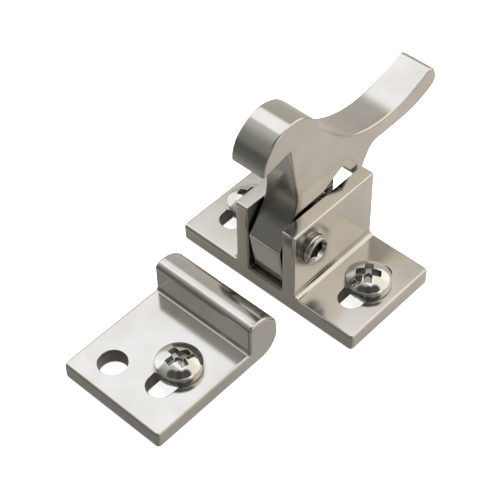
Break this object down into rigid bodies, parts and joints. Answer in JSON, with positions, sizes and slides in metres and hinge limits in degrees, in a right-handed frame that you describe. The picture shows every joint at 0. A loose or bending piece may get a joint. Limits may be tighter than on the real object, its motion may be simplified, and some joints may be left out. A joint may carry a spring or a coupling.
{
  "type": "elbow catch",
  "caption": "Nickel-plated elbow catch: a sprung lever with a rounded hooked nose pivots in a slotted U bracket and holds a beaded strike plate.",
  "frame": {"origin": "midway between the two base screws, on the mounting surface", "axes": "+Z out of the mounting surface, +Y along the lever from its nose to its handle, +X across the bracket"},
  "size_m": [0.0384, 0.0754, 0.0519],
  "materials": {
    "nickel_plate": "satin nickel plate",
    "bright_screw": "bright nickel",
    "pivot_steel": "plain steel",
    "spring_steel": "spring steel wire"
  },
  "bodies": {
    "catch": {"catch_base": "nickel_plate", "pivot_screw": "pivot_steel", "return_spring": "spring_steel", "base_screw_left": "bright_screw", "base_screw_right": "bright_screw"},
    "lever": {"lever": "nickel_plate"},
    "strike": {"strike_plate": "nickel_plate", "strike_screw": "bright_screw"}
  },
  "joints": [
    {"name": "lever_pivot", "type": "hinge", "parent": "catch", "child": "lever", "pos_m": [0, -0.0061, 0.0122], "axis": [-1, 0, 0], "range_deg": [0, 30], "stiffness_Nm_per_rad": 0.15, "springref_deg": -20.05, "deforming": ["return_spring"]},
    {"name": "strike_away", "type": "slide", "parent": "catch", "child": "strike", "axis": [0, -1, 0], "range_m": [0, 0.03]}
  ]
}
